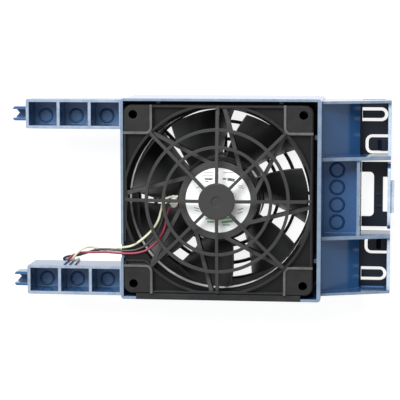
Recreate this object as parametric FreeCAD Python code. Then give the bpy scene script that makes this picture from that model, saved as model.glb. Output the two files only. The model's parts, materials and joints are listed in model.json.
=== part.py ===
import FreeCAD, Part
import math
import os

from FreeCAD import Rotation, Vector

# Server fan module: a 92 mm axial fan held in a plug-in plastic carrier.
# Frame: millimetres, +Z up. The module lies on its back on z = 0 and the fan
# turns about the Z axis. +X runs from the locating pegs to the release latch.

# ---------------------------------------------------------------- fan frame
FAN_SIZE = 92.0            # side of the square frame
FAN_DEPTH = 38.0           # from its back to its front face
FAN_CORNER_R = 4.0
HOLE_INSET = 4.75          # corner holes from the sides
HOLE_R = 2.15
FLANGE_T = 4.5
SIDE_WALL = 2.0            # frame material left at the middle of each side
DUCT_WALL = 1.5
BELL_FLARE = 1.5           # how far the mouth opens past the duct
BELL_DEPTH = 5.0
BELL_EDGE = 1.6            # flat land left outside the mouth at mid-side
BOSS_WALL = 1.9            # round each corner hole
PAD_SIZE = 13.0            # raised-rimmed square at each corner
PAD_RIM_W = 1.2
PAD_RIM_H = 0.6
PAD_RIM_R = 3.4
POCKET_DEPTH = 2.5         # sunk panels beside the corner pads
FACE_CHAMFER = 0.6

# ------------------------------------------------------- struts and motor base
BASE_R = 19.0
BASE_T = 6.0
BASE_SETBACK = 0.7         # base face below the fan face
BASE_SKIN = 3.0
STRUT_COUNT = 8
STRUT_W = 1.9
STRUT_T = 4.6
STRUT_SWEEP = 37.0         # degrees between a strut's two ends
STRUT_SIDE_LEAD = 3.0      # degrees by which the mid-side struts end early
LABEL_MARGIN = 3.2         # base face left outside the label
LABEL_T = 0.25
LABEL_RECESS = 0.5

# -------------------------------------------------------------- finger guard
GUARD_RISE = 6.5           # crown of the guard above the fan face
GUARD_EDGE_RISE = 3.0
GUARD_T = 2.0
GUARD_DISC_R = 8.8
GUARD_BAR_W = 1.5
GUARD_RING_R = 25.9         # inner ring
GUARD_RING_PITCH = 8.4
GUARD_RING_COUNT = 2
GUARD_SPOKES = 8
GUARD_FOOT = 1.8           # length of each foot along its spoke
GUARD_SIDE_INSET = 2.8     # straight spokes end short of the frame's side
GUARD_CORNER_GAP = 1.0     # diagonal spokes end short of the corner pads
GUARD_TAB_T = 0.7          # low tab beyond each foot, which rests on the frame
GUARD_DIMPLE_R = 2.6
GUARD_DIMPLE_T = 0.5

# ---------------------------------------------------------------- fan rotor
BLADES = 7
TIP_GAP = 1.0
HUB_OVERHANG = 1.6         # hub wider than the motor base
HUB_WALL = 1.5
HUB_FLOOR = 1.8
HUB_SETBACK = 1.5          # hub's closed end above the fan's back
HUB_GAP = 1.0              # between hub rim and motor base
BLADE_INSET = 2.2          # blade edges from the ends of the hub
BLADE_T = 1.5
BLADE_TIP_T = 0.7
BLADE_CAMBER = 2.4
BLADE_GAP_ROOT = 12.0      # degrees of clear view between blades
BLADE_GAP_TIP = 10.0
BLADE_DRIFT = 13.0         # degrees that a blade edge leans back from root to tip
BLADE_START = 4.5          # rest angle of the first blade

# -------------------------------------------------------------------- motor
SHAFT_R = 1.5
BEARING_R = 4.0
BEARING_W = 4.0
RACE_T = 0.8
BALL_COUNT = 7
BALL_PLAY = 0.02
CAGE_WIRE_R = 0.2
TUBE_WALL = 1.0
YOKE_WALL = 1.1
MAGNET_T = 2.4
MAGNET_LENGTH = 18.0
AIR_GAP = 0.5
BUSH_R = 3.6
BUSH_LENGTH = 4.2
SPRING_H = 1.6
SPRING_T = 0.3
CORE_LENGTH = 11.0
POLES = 4
POLE_STEM_W = 4.4
SHOE_T = 2.2
SHOE_HALF_ANGLE = 36.0
CORE_HUB_T = 2.4
INSULATOR_T = 1.0
COIL_T = 2.4
COIL_PLAY = 0.3            # coil from the core's hub
COIL_TIP_PLAY = 1.8        # coil from the pole shoe
BOARD_T = 1.6
BOARD_PLAY = 1.4           # board's edge inside the rotor's steel cup
BOARD_GAP = 1.2            # between coils and circuit board
CHIP = (5.0, 4.0, 1.4)
CHIP_R = 10.5              # centre of the chip from the axis
CAN_R = 1.7                # capacitors
CAN_H = 1.7
CAN_OUT = 10.6
CAN_SPREAD = 14.0          # degrees to either side
HALL = (3.0, 1.6, 1.0)
CLIP_T = 0.5
CLIP_GROOVE = 0.3

# -------------------------------------------------------------- fan bay
BAY_WALL = 1.3
BAY_END_WALL = 1.9         # wall towards the latch
BAY_FLOOR = 3.0
BAY_RIM_DROP = 0.5         # rim below the fan face
GAP_PEG_END = 0.2          # air between fan and wall, towards the pegs
GAP_LATCH_END = 1.9
GAP_SIDES = 1.7
BAY_CORNER_R = 1.6
CRUSH_RIB_W = 2.0
CRUSH_RIB_PLAY = 0.1
CRUSH_RIB_DROP = 8.0
CRUSH_RIB_INSET = 16.0     # from the frame's corners
GASKET_INSET = 6.0         # ends of the sealing strip from the frame's corners
GASKET_H = 4.0
GASKET_PROUD = 0.3
NOTCH_W = 6.8              # way out for the wires
CHANNEL_W = 9.6            # wider where it crosses the fan frame
NOTCH_DEPTH = 3.6
NOTCH_Y = -25.4
GRILLE_LIP = 0.8           # grille opening outside the duct
GRILLE_T = 2.2
GRILLE_BAR_W = 1.6
GRILLE_RING_COUNT = 3
GRILLE_RING_PITCH = 9.0
GRILLE_SPOKES = 8
GRILLE_DISC_R = 9.0

# -------------------------------------------------------------------- arms
ARM_LENGTH = 47.7
ARM_WIDTH = 14.5
ARM_HEIGHT = 17.5
ARM_RIM_DROP = 5.5         # arm rim below the bay rim
ARM_INSET = 0.8            # arm's outer wall inside the bay's
ARM_WALL = 1.5
ARM_FLOOR = 1.8
ARM_POCKETS = 3
PEG_LENGTH = 6.8
PEG_WIDTH = 7.0
PEG_HEIGHT = 9.0
PEG_DROP = 2.0
PEG_WALL = 1.4
PEG_NOTCH = 1.7
PEG_NOTCH_HALF = 1.9
PEG_TAPER = 0.8

# -------------------------------------------------------------- latch tray
TRAY_LENGTH = 33.1
TRAY_INSET = 1.5           # tray's outer wall inside the bay's
TRAY_WALL = 1.3
TRAY_RIM_NEAR = 30.5
TRAY_RIM_FAR = 18.2
RIB_T = 1.8
LATCH_BAY_W = 36.8         # clear width between the two ribs
RAMP_TOP = 27.0
RAMP_FOOT = 10.0
RAMP_LENGTH = 17.8
RAMP_T = 2.0
MID_POCKET_LENGTH = 16.6
MID_POCKET_FLOOR = 13.6
MID_POCKET_SKIN = 1.8
CROSS_WALL_T = 1.6
CROSS_WALL_TOP = 23.0
SIDE_SLOT_LENGTH = 11.0
SIDE_SLOT_H = 5.0
SIDE_SLOT_Z = 4.4

# ------------------------------------------------------ end plate and latch
PLATE_T = 1.6
PLATE_LIFT = 1.2           # underside of the plate above z = 0
PLATE_TONGUE = 4.0         # how far the plate reaches under the ramps
END_WALL_T = 1.5
END_WALL_TOP = 16.5
HINGE_GAP = 0.15
STRIP_REACH = 0.3          # solid strip of the plate past the cross wall
SNAP_ROOT_LAND = 0.2       # and past that to the snap finger's slot
SNAP_INSET = 6.25          # finger's centre line from the tray's wall
SNAP_W = 3.7
SNAP_SLOT = 1.6
SNAP_END_LAND = 0.1        # plate left between the slot and the end wall
WALL_SLOT_Z = 5.6
WALL_SLOT_LAND = 2.6
HOOK_OFFSET = 4.5          # centre of the tab from the rib
HOOK_HALF_W = 4.5          # centre of the tab to the centre of its slot
HOOK_SLOT = 1.5
HOOK_REACH = 11.2          # slot's cross leg from the end wall
HOOK_CORNER = 2.6
HOOK_CORNER_STEPS = 4
HOOK_RIB_LAND = 0.1        # plate left between the hook's slot and the rib
HOOK_BLOCK = (5.2, 5.6, 3.4)
HOOK_BLOCK_SINK = 0.4      # block's foot in the tab, and its distance from the end wall
LATCH_GAP = 2.2            # between the latch and the ribs
WINDOW_HALF = 11.15
WINDOW_R = 2.2
LATCH_BAR_W = 4.5
SLIT_W = 2.3               # second window, seen on the floor
SLIT_HALF = 8.75
SLIT_TOP = 10.5
LATCH_CORNER_R = 4.5
THUMB_REACH = 1.8
THUMB_HALF = 8.0
THUMB_H = 2.0
THUMB_DROP = 1.2
GRIP_COUNT = 3
GRIP_PITCH = 6.0
GRIP = (3.6, 1.0, 0.5)

# ------------------------------------------------------ wires and connector
WIRE_R = 0.6
GROMMET_W = 8.0
GROMMET_H = 2.8
GROMMET_T = 2.6
GROMMET_PROUD = 0.6
PLUG_LENGTH = 11.0
PLUG_WIDTH = 8.8
PLUG_H = 5.6
PLUG_PITCH = 2.0
PLUG_BORE = 1.3
CONTACT_WALL = 0.25
CONTACT_INSET = 0.6
CONTACT_TAIL = 2.4
CRADLE_WALL = 1.2
CRADLE_LENGTH = 7.0

# Each wire's own points, hand-laid from the motor base to the plug. Ends come
# from the grommet and the plug, so these are only the points in between.
WIRE_POINTS = {
    "wire_red": [
        (-22.5, -3.2, 38.4), (-24.7, -4.95, 38.4), (-25.5, -8.4, 38.4), (-26.8, -13.0, 38.4),
        (-29.0, -17.4, 38.4), (-32.0, -21.6, 38.4), (-36.2, -25.0, 38.4), (-41.6, -26.9, 38.4),
        (-48.2, -26.8, 38.5), (-54.4, -26.2, 38.9), (-60.4, -26.6, 38.8), (-66.2, -26.6, 38.6),
        (-70.2, -28.2, 37.8), (-72.4, -30.9, 35.8), (-73.0, -32.5, 29.4), (-73.2, -32.8, 20.6),
        (-73.3, -33.0, 14.2), (-74.4, -38.0, 12.2), (-77.0, -40.6, 13.4), (-80.2, -40.95, 14.7),
    ],
    "wire_black": [
        (-23.2, -0.9, 38.4), (-25.9, -2.9, 38.4), (-26.8, -7.9, 38.4), (-28.1, -12.5, 38.4),
        (-30.2, -16.8, 38.4), (-32.95, -20.65, 38.4), (-36.85, -23.8, 38.4),
        (-41.85, -25.55, 38.4), (-48.2, -25.45, 38.5), (-54.4, -24.85, 38.6),
        (-60.2, -25.6, 37.3), (-63.8, -27.6, 36.5), (-67.4, -29.4, 35.6), (-71.4, -29.9, 34.0),
        (-75.0, -31.0, 31.0), (-76.2, -32.4, 26.0), (-75.6, -32.8, 21.4), (-75.0, -33.0, 16.0),
        (-76.8, -36.4, 13.3), (-81.0, -38.95, 14.7),
    ],
    "wire_cream": [
        (-23.4, 1.4, 38.4), (-26.6, -0.5, 38.4), (-27.9, -5.2, 38.4), (-28.9, -9.8, 38.4),
        (-31.3, -14.0, 38.4), (-34.6, -17.6, 38.4), (-38.4, -20.8, 38.4), (-42.6, -23.4, 38.4),
        (-48.2, -24.05, 38.3), (-54.4, -24.1, 37.3), (-58.2, -23.9, 37.7), (-62.0, -24.2, 39.0),
        (-65.2, -25.6, 40.2), (-68.2, -28.6, 39.2), (-70.0, -31.0, 35.8), (-70.7, -32.3, 29.0),
        (-70.9, -32.6, 20.6), (-70.9, -32.9, 13.8), (-71.8, -38.1, 12.0), (-74.4, -41.6, 12.8),
        (-78.6, -42.95, 14.7),
    ],
}
GROMMET_ORDER = ("wire_red", "wire_black", "wire_cream")
PLUG_ORDER = ("wire_cream", "wire_red", "wire_black")

# ------------------------------------------------------------ derived values
HALF = FAN_SIZE / 2
FAN_BACK = BAY_FLOOR
FAN_FACE = FAN_BACK + FAN_DEPTH
DUCT_R = HALF - SIDE_WALL
BELL_R = DUCT_R + BELL_FLARE
BELL_FLAT = HALF - BELL_EDGE
HOLE_XY = HALF - HOLE_INSET

BASE_FACE = FAN_FACE - BASE_SETBACK
BASE_BACK = BASE_FACE - BASE_T
LABEL_R = BASE_R - LABEL_MARGIN
HUB_R = BASE_R + HUB_OVERHANG
HUB_BACK = FAN_BACK + HUB_SETBACK
HUB_FRONT = BASE_BACK - HUB_GAP
YOKE_R = HUB_R - HUB_WALL
MAGNET_R = YOKE_R - YOKE_WALL
CORE_R = MAGNET_R - MAGNET_T - AIR_GAP
TUBE_R = BEARING_R + TUBE_WALL
BOARD_R = MAGNET_R - BOARD_PLAY
COIL_START = TUBE_R + CORE_HUB_T + COIL_PLAY
COIL_LENGTH = CORE_R - SHOE_T - COIL_TIP_PLAY - COIL_START
YOKE_BACK = HUB_BACK + HUB_FLOOR
BUSH_FRONT = YOKE_BACK + BUSH_LENGTH
REAR_BEARING = BUSH_FRONT + SPRING_H
COIL_BACK = YOKE_BACK + YOKE_WALL + 2.4
CORE_BACK = COIL_BACK + COIL_T + INSULATOR_T
CORE_FRONT = CORE_BACK + CORE_LENGTH
COIL_FRONT = CORE_FRONT + INSULATOR_T + COIL_T
BOARD_BACK = COIL_FRONT + BOARD_GAP
BOARD_FRONT = BOARD_BACK + BOARD_T
FRONT_BEARING = BOARD_BACK - BEARING_W
PITCH_R = (SHAFT_R + BEARING_R) / 2
BALL_R = (BEARING_R - SHAFT_R) / 2 - RACE_T - BALL_PLAY
SHAFT_FRONT = FRONT_BEARING + BEARING_W + 2 * CLIP_T

BAY_RIM = FAN_FACE - BAY_RIM_DROP
BAY_X0 = -HALF - GAP_PEG_END - BAY_WALL
BAY_X1 = HALF + GAP_LATCH_END + BAY_END_WALL
BAY_HALF = HALF + GAP_SIDES + BAY_WALL
GRILLE_R = DUCT_R + GRILLE_LIP
GASKET_HALF = HALF - GASKET_INSET
CRUSH_RIB_OFFSET = HALF - CRUSH_RIB_INSET
NOTCH_FLOOR = FAN_FACE - NOTCH_DEPTH

ARM_X0 = BAY_X0 - ARM_LENGTH
ARM_RIM = BAY_RIM - ARM_RIM_DROP
ARM_UNDER = ARM_RIM - ARM_HEIGHT
ARM_OUT = BAY_HALF - ARM_INSET
ARM_MID = ARM_OUT - ARM_WIDTH / 2

TRAY_X1 = BAY_X1 + TRAY_LENGTH
TRAY_OUT = BAY_HALF - TRAY_INSET
TRAY_IN = TRAY_OUT - TRAY_WALL
RIB_IN = LATCH_BAY_W / 2
RIB_OUT = RIB_IN + RIB_T
RAMP_X1 = BAY_X1 + RAMP_LENGTH
CROSS_X0 = BAY_X1 + MID_POCKET_LENGTH
CROSS_X1 = CROSS_X0 + CROSS_WALL_T

PLATE_TOP = PLATE_LIFT + PLATE_T
PLATE_MID = PLATE_LIFT + PLATE_T / 2
END_X0 = TRAY_X1 - END_WALL_T
STRIP_X1 = CROSS_X1 + STRIP_REACH
LATCH_PIVOT_X = STRIP_X1 + HINGE_GAP + PLATE_T / 2
LATCH_HALF = RIB_IN - LATCH_GAP
SLIT_X0 = END_X0 - SLIT_W
WINDOW_X1 = SLIT_X0 - LATCH_BAR_W
SNAP_Y = TRAY_IN - SNAP_INSET
HOOK_Y = RIB_OUT + HOOK_OFFSET
SNAP_X0 = STRIP_X1 + SNAP_ROOT_LAND
SNAP_X1 = END_X0 - SNAP_END_LAND
SNAP_PIVOT_X = SNAP_X0 + HINGE_GAP + PLATE_T / 2

GROMMET_X = -BASE_R - GROMMET_PROUD
GROMMET_Y = -0.9
WIRE_Z = BASE_FACE - 1.9
PLUG_X1 = ARM_X0 + PLUG_LENGTH + 0.2
PLUG_TOP = ARM_UNDER
PLUG_MID = PLUG_TOP - PLUG_H / 2


# ---------------------------------------------------------------- tools
def box(x0, x1, y0, y1, z0, z1):
    return Part.makeBox(x1 - x0, y1 - y0, z1 - z0, Vector(x0, y0, z0))


def cyl(radius, z0, z1, x=0.0, y=0.0):
    return Part.makeCylinder(radius, z1 - z0, Vector(x, y, z0))


def tube(outer, inner, z0, z1):
    return cyl(outer, z0, z1).cut(cyl(inner, z0, z1))


def fuse(shapes):
    shapes = list(shapes)
    return shapes[0].multiFuse(shapes[1:]).removeSplitter() if len(shapes) > 1 else shapes[0]


def cut(shape, tools):
    return shape.cut(list(tools))


def turned(shape, degrees):
    copy = shape.copy()
    copy.rotate(Vector(0, 0, 0), Vector(0, 0, 1), degrees)
    return copy


def mirrored(shape):
    """The same piece on the other side of the XZ plane."""
    return shape.mirror(Vector(0, 0, 0), Vector(0, 1, 0))


def around(shape, count, start=0.0):
    return [turned(shape, start + 360.0 * i / count) for i in range(count)]


def prism_xy(points, z0, z1):
    wire = Part.makePolygon([Vector(x, y, z0) for x, y in points + points[:1]])
    return Part.Face(wire).extrude(Vector(0, 0, z1 - z0))


def prism_xz(points, y0, y1):
    wire = Part.makePolygon([Vector(x, y0, z) for x, z in points + points[:1]])
    return Part.Face(wire).extrude(Vector(0, y1 - y0, 0))


def rounded(x0, x1, y0, y1, z0, z1, radius):
    """A box whose four upright edges are rounded."""
    corners = ((x0, y0), (x1, y0), (x1, y1), (x0, y1))
    solid = box(x0, x1, y0, y1, z0, z1)
    upright = [e for e in solid.Edges
               if abs(e.Vertexes[0].X - e.Vertexes[1].X) < 1e-6
               and abs(e.Vertexes[0].Y - e.Vertexes[1].Y) < 1e-6
               and any(abs(e.Vertexes[0].X - x) < 1e-6 and abs(e.Vertexes[0].Y - y) < 1e-6
                       for x, y in corners)]
    return solid.makeFillet(radius, upright)


def stadium(x0, x1, y, half, z0, z1):
    """A bar along X with a square start and a round far end."""
    bar = box(x0, x1 - half, y - half, y + half, z0, z1)
    return bar.fuse(cyl(half, z0, z1, x1 - half, y)).removeSplitter()


def slot_path(points, width, z0, z1):
    """A groove of constant width along straight legs, round at every point."""
    pieces = [cyl(width / 2, z0, z1, x, y) for x, y in points]
    for (ax, ay), (bx, by) in zip(points, points[1:]):
        length = math.hypot(bx - ax, by - ay)
        leg = box(0, length, -width / 2, width / 2, z0, z1)
        leg.rotate(Vector(0, 0, 0), Vector(0, 0, 1), math.degrees(math.atan2(by - ay, bx - ax)))
        leg.translate(Vector(ax, ay, 0))
        pieces.append(leg)
    return fuse(pieces)


def cord(name, points, radius):
    """A round wire along straight runs joined by tangent arcs."""
    path = [Vector(*p) for p in points]
    edges = []
    radii = []
    start = path[0]
    for before, corner, after in zip(path, path[1:], path[2:]):
        back = (before - corner).normalize()
        ahead = (after - corner).normalize()
        half_turn = (math.pi - back.getAngle(ahead)) / 2
        shorter = min((before - corner).Length, (after - corner).Length)
        reach = 0.45 * shorter
        radii.append(reach / math.tan(half_turn))
        arc_in = corner + back * reach
        arc_out = corner + ahead * reach
        bisector = (back + ahead).normalize()
        centre_gap = radii[-1] / math.cos(half_turn)
        middle = corner + bisector * (centre_gap - radii[-1])
        edges.append(Part.LineSegment(start, arc_in).toShape())
        edges.append(Part.Arc(arc_in, middle, arc_out).toShape())
        start = arc_out
    edges.append(Part.LineSegment(start, path[-1]).toShape())
    spine = Part.Wire(edges)
    ring = Part.Wire(Part.makeCircle(radius, path[0], path[1] - path[0]))
    solid = spine.makePipeShell([ring], True, False)
    ideal = math.pi * radius ** 2 * spine.Length
    print("%s: length %.1f, smallest radius %.2f, volume ratio %.4f"
          % (name, spine.Length, min(radii), solid.Volume / ideal))
    return solid


# -------------------------------------------------------------- fan frame
def duct_void():
    """The air passage: a round duct whose front mouth flares to a flat-sided circle."""
    straight = cyl(DUCT_R, FAN_BACK, FAN_FACE)
    flare = Part.makeCone(DUCT_R, BELL_R, BELL_DEPTH, Vector(0, 0, FAN_FACE - BELL_DEPTH))
    square = box(-BELL_FLAT, BELL_FLAT, -BELL_FLAT, BELL_FLAT, FAN_BACK, FAN_FACE)
    return straight.fuse(flare.common(square)).removeSplitter()


def frame_flange(z0, z1):
    return rounded(-HALF, HALF, -HALF, HALF, z0, z1, FAN_CORNER_R)


def sunk_panels():
    """Shallow panels in the front flange, between the mouth and the corner pads."""
    rim = HALF - PAD_RIM_W
    edge = HALF - PAD_SIZE
    panel = box(-rim, rim, -rim, rim, FAN_FACE - POCKET_DEPTH, FAN_FACE)
    pad = rounded(edge - PAD_RIM_W, 2 * HALF, edge - PAD_RIM_W, 2 * HALF,
                  FAN_FACE - POCKET_DEPTH, FAN_FACE, PAD_RIM_R)
    mouth = cyl(BELL_R + PAD_RIM_W, FAN_FACE - POCKET_DEPTH, FAN_FACE)
    return cut(panel, [mouth] + around(pad, 4))


def pad_rims():
    edge = HALF - PAD_SIZE
    far = 2 * HALF
    top = FAN_FACE + PAD_RIM_H
    outer = rounded(edge - PAD_RIM_W, far, edge - PAD_RIM_W, far, FAN_FACE - 0.5, top, PAD_RIM_R)
    inner = rounded(edge, far, edge, far, FAN_FACE - 0.5, top, PAD_RIM_R - PAD_RIM_W)
    rim = outer.cut(inner).common(frame_flange(FAN_FACE - 0.5, top))
    return around(rim, 4)


def wire_channel(x0, x1, width):
    return box(x0, x1, NOTCH_Y - width / 2, NOTCH_Y + width / 2, NOTCH_FLOOR, FAN_FACE + 1)


def fan_housing():
    front = frame_flange(FAN_FACE - FLANGE_T, FAN_FACE)
    face_edges = [e for e in front.Edges if e.BoundBox.ZMin > FAN_FACE - 1e-6]
    front = front.makeChamfer(FACE_CHAMFER, face_edges)
    rear = frame_flange(FAN_BACK, FAN_BACK + FLANGE_T)
    duct = cyl(DUCT_R + DUCT_WALL, FAN_BACK, FAN_FACE)
    bosses = around(cyl(HOLE_R + BOSS_WALL, FAN_BACK, FAN_FACE, HOLE_XY, HOLE_XY), 4)
    holes = around(cyl(HOLE_R, FAN_BACK, FAN_FACE + 1, HOLE_XY, HOLE_XY), 4)
    body = fuse([front.cut(sunk_panels()), rear, duct] + bosses + pad_rims())
    return cut(body, [duct_void(), wire_channel(-FAN_SIZE, -DUCT_R / 2, CHANNEL_W)] + holes)


def strut_spider():
    """Motor base and the slanting struts that carry it, up to the duct wall."""
    base = cyl(BASE_R, BASE_BACK, BASE_FACE)
    base = base.cut(cyl(BASE_R - HUB_WALL, BASE_BACK, BASE_FACE - BASE_SKIN))
    boss = cyl(TUBE_R + TUBE_WALL, BASE_BACK, BASE_FACE - BASE_SKIN)
    sweep = math.radians(STRUT_SWEEP)
    inner_r = BASE_R - HUB_WALL
    outer_r = BELL_R + BELL_FLARE
    ax, ay = inner_r * math.cos(-sweep), inner_r * math.sin(-sweep)
    run = math.hypot(outer_r - ax, ay)
    strut = box(0, run, -STRUT_W / 2, STRUT_W / 2, BASE_FACE - STRUT_T, BASE_FACE)
    strut.rotate(Vector(0, 0, 0), Vector(0, 0, 1), math.degrees(math.atan2(-ay, outer_r - ax)))
    strut.translate(Vector(ax, ay, 0))
    pairs = around(strut, STRUT_COUNT // 2, 45.0)
    pairs += around(strut, STRUT_COUNT // 2, -STRUT_SIDE_LEAD)
    struts = cut(fuse(pairs), [cyl(inner_r, BASE_BACK - 1, FAN_FACE)])
    struts = struts.common(duct_void())
    body = fuse([base, boss, struts])
    label_seat = cyl(LABEL_R, BASE_FACE - LABEL_RECESS, BASE_FACE)
    tube_seat = cyl(TUBE_R, BASE_BACK, BASE_FACE - BASE_SKIN)
    return cut(body, [label_seat, tube_seat, grommet()])


def hub_label():
    seat = BASE_FACE - LABEL_RECESS
    return cyl(LABEL_R, seat, seat + LABEL_T)


def grommet():
    """Rubber block in the edge of the motor base, where the wires leave."""
    top = WIRE_Z + GROMMET_H / 2
    return box(GROMMET_X, GROMMET_X + GROMMET_PROUD + GROMMET_T,
               GROMMET_Y - GROMMET_W / 2, GROMMET_Y + GROMMET_W / 2, top - GROMMET_H, top)


# ------------------------------------------------------------ finger guard
def guard_top(radius):
    share = max(0.0, (radius - GUARD_DISC_R) / (HALF - GUARD_DISC_R))
    return FAN_FACE + GUARD_RISE - (GUARD_RISE - GUARD_EDGE_RISE) * share


def guard_spoke(end_r, tab_r):
    """A straight bar down the cone, with a foot and a low tab that rests on the fan face."""
    start_r = GUARD_DISC_R - 1.0
    tab_top = FAN_FACE + GUARD_TAB_T
    points = [(start_r, guard_top(start_r)), (end_r, guard_top(end_r)), (end_r, tab_top),
              (tab_r, tab_top), (tab_r, FAN_FACE), (end_r - GUARD_FOOT, FAN_FACE),
              (end_r - GUARD_FOOT, guard_top(end_r) - GUARD_T),
              (start_r, guard_top(start_r) - GUARD_T)]
    return prism_xz(points, -GUARD_BAR_W / 2, GUARD_BAR_W / 2)


def finger_guard():
    top = FAN_FACE + GUARD_RISE
    disc = cyl(GUARD_DISC_R, top - GUARD_T, top)
    rim_edges = [e for e in disc.Edges if e.BoundBox.ZMin > top - 1e-6]
    disc = disc.makeFillet(GUARD_DIMPLE_T, rim_edges)
    disc = disc.cut(cyl(GUARD_DIMPLE_R, top - GUARD_DIMPLE_T, top))
    rings = []
    for i in range(GUARD_RING_COUNT):
        r = GUARD_RING_R + i * GUARD_RING_PITCH
        rings.append(tube(r + GUARD_BAR_W / 2, r - GUARD_BAR_W / 2,
                          guard_top(r) - GUARD_T, guard_top(r)))
    side = guard_spoke(HALF - GUARD_SIDE_INSET, HALF - FACE_CHAMFER - 0.1)
    pad_r = (HALF - PAD_SIZE - PAD_RIM_W) * math.sqrt(2) + PAD_RIM_R * (math.sqrt(2) - 1)
    corner = guard_spoke(pad_r - GUARD_CORNER_GAP, pad_r)
    spokes = around(side, GUARD_SPOKES // 2) + around(corner, GUARD_SPOKES // 2, 45.0)
    return fuse([disc] + rings + spokes)


# ------------------------------------------------------------------ rotor
def blade_section(plane, angle_half, drift, thickness, edge_t):
    """Closed thin section in the plane x = plane: lower back edge to upper front edge."""
    back = HUB_BACK + BLADE_INSET
    front = HUB_FRONT - BLADE_INSET / 2
    y0 = plane * math.tan(math.radians(drift - angle_half))
    y1 = plane * math.tan(math.radians(drift + angle_half))
    chord = Vector(0, y1 - y0, front - back)
    normal = Vector(0, -chord.z, chord.y).normalize()
    low = Vector(plane, y0, back)
    high = Vector(plane, y1, front)
    middle = (low + high) * 0.5 + normal * BLADE_CAMBER
    edge = normal * (edge_t / 2)
    belly = normal * (thickness / 2)
    top = Part.Arc(low + edge, middle + belly, high + edge).toShape()
    nose = Part.LineSegment(high + edge, high - edge).toShape()
    bottom = Part.Arc(high - edge, middle - belly, low - edge).toShape()
    tail = Part.LineSegment(low - edge, low + edge).toShape()
    return Part.Wire([top, nose, bottom, tail])


def blade(root_r, tip_r):
    """One twisted blade, lofted through flat sections and trimmed to root and tip."""
    sections = []
    for share in (0.0, 0.35, 0.7, 1.0):
        plane = root_r * 0.86 + (tip_r * 1.06 - root_r * 0.86) * share
        gap = BLADE_GAP_ROOT + (BLADE_GAP_TIP - BLADE_GAP_ROOT) * share
        half_angle = (360.0 / BLADES - gap) / 2
        thickness = BLADE_T + (BLADE_TIP_T - BLADE_T) * share
        sections.append(blade_section(plane, half_angle, BLADE_DRIFT * (0.5 - share),
                                      thickness, BLADE_TIP_T))
    loft = Part.makeLoft(sections, True, False)
    return loft.common(tube(tip_r, root_r, FAN_BACK, FAN_FACE))


def impeller():
    cup = cyl(HUB_R, HUB_BACK, HUB_FRONT)
    back_edge = [e for e in cup.Edges if e.BoundBox.ZMax < HUB_BACK + 1e-6]
    cup = cup.makeFillet(HUB_WALL, back_edge)
    cup = cup.cut(cyl(YOKE_R, YOKE_BACK, HUB_FRONT))
    blades = around(blade(HUB_R - HUB_WALL / 2, DUCT_R - TIP_GAP), BLADES, BLADE_START)
    return fuse([cup] + blades)


def rotor_yoke():
    cup = tube(YOKE_R, BUSH_R, YOKE_BACK, HUB_FRONT - HUB_GAP)
    return cup.cut(cyl(MAGNET_R, YOKE_BACK + YOKE_WALL, HUB_FRONT))


def ring_magnet():
    start = YOKE_BACK + YOKE_WALL
    return tube(MAGNET_R, MAGNET_R - MAGNET_T, start, start + MAGNET_LENGTH)


def shaft_bush():
    return tube(BUSH_R, SHAFT_R, YOKE_BACK, BUSH_FRONT)


def rotor_shaft():
    groove_z = FRONT_BEARING + BEARING_W
    groove = tube(SHAFT_R, SHAFT_R - CLIP_GROOVE, groove_z, groove_z + CLIP_T)
    return cyl(SHAFT_R, YOKE_BACK, SHAFT_FRONT).cut(groove)


def preload_spring():
    """Coned spring washer between the bush and the rear inner ring."""
    inner = SHAFT_R + 0.1
    outer = SHAFT_R + RACE_T
    points = [(inner, BUSH_FRONT), (inner + SPRING_T, BUSH_FRONT),
              (outer, REAR_BEARING), (outer - SPRING_T, REAR_BEARING)]
    wire = Part.makePolygon([Vector(x, 0, z) for x, z in points + points[:1]])
    return Part.Face(wire).revolve(Vector(0, 0, 0), Vector(0, 0, 1), 360)


def retaining_clip():
    start = FRONT_BEARING + BEARING_W
    ring = tube(SHAFT_R + RACE_T + CLIP_T, SHAFT_R - CLIP_GROOVE, start, start + CLIP_T)
    mouth = box(0, BEARING_R, -SHAFT_R * 0.7, SHAFT_R * 0.7, start, start + CLIP_T)
    return ring.cut(mouth)


def bearing_rings(outer, inner):
    starts = (REAR_BEARING, FRONT_BEARING)
    return Part.makeCompound([tube(outer, inner, z, z + BEARING_W) for z in starts])


def ball_cages():
    """Seven balls on a thin ring, in each of the two bearings."""
    sets = []
    for start in (REAR_BEARING, FRONT_BEARING):
        centre = start + BEARING_W / 2
        ball = Part.makeSphere(BALL_R, Vector(PITCH_R, 0, centre))
        ring = Part.makeTorus(PITCH_R, CAGE_WIRE_R, Vector(0, 0, centre))
        sets.append(fuse([ring] + around(ball, BALL_COUNT)))
    return Part.makeCompound(sets)


# ----------------------------------------------------------------- stator
def bearing_tube():
    return tube(TUBE_R, BEARING_R, REAR_BEARING, BASE_FACE - BASE_SKIN)


def pole_stem(width, z0, z1, reach):
    return box(TUBE_R + CORE_HUB_T / 2, reach, -width / 2, width / 2, z0, z1)


def stator_core():
    hub = cyl(TUBE_R + CORE_HUB_T, CORE_BACK, CORE_FRONT)
    stems = around(pole_stem(POLE_STEM_W, CORE_BACK, CORE_FRONT, CORE_R - SHOE_T / 2), POLES)
    reach = 2 * CORE_R
    rise = reach * math.tan(math.radians(SHOE_HALF_ANGLE))
    wedge = prism_xy([(0, 0), (reach, -rise), (reach, rise)], CORE_BACK, CORE_FRONT)
    shoe = wedge.common(tube(CORE_R, CORE_R - SHOE_T, CORE_BACK, CORE_FRONT))
    core = fuse([hub] + stems + around(shoe, POLES))
    return core.cut(cyl(TUBE_R, CORE_BACK, CORE_FRONT))


def insulator(z0, z1):
    """Plastic end piece of the core: a hub ring and a cover on each pole."""
    hub = cyl(TUBE_R + CORE_HUB_T, z0, z1)
    stems = around(pole_stem(POLE_STEM_W, z0, z1, CORE_R - SHOE_T), POLES)
    return fuse([hub] + stems).cut(cyl(TUBE_R, z0, z1))


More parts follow.
